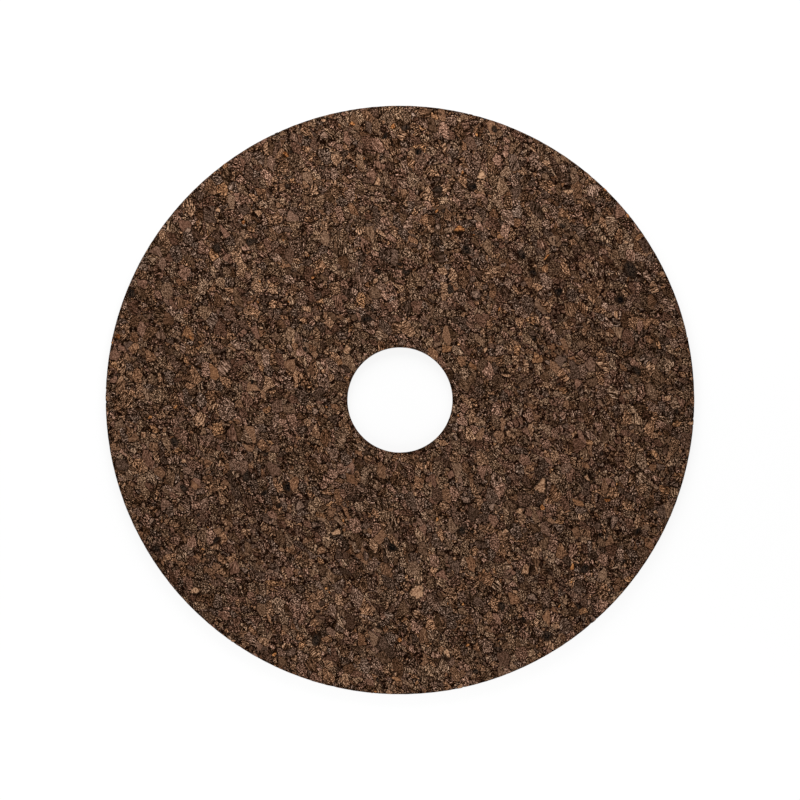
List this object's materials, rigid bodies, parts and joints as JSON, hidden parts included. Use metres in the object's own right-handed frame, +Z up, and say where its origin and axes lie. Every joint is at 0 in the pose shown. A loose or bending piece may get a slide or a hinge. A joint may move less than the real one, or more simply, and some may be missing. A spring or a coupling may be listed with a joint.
{
  "type": "cork placemat",
  "caption": "Flat round placemat of dark granulated cork with a round hole through its centre, laid on a table to carry a plate or a hot dish.",
  "frame": {"origin": "centre of the underside, on the axis of the mat and of its hole", "axes": "+Z up, out of the face that carries the plate; +Y towards the top of the picture; +X to its right"},
  "size_m": [0.28, 0.28, 0.005],
  "materials": {
    "dark_cork": "matte, sanded cork granules bonded into a sheet, no lacquer"
  },
  "bodies": {
    "root": {"cork_ring": "dark_cork"}
  },
  "joints": []
}
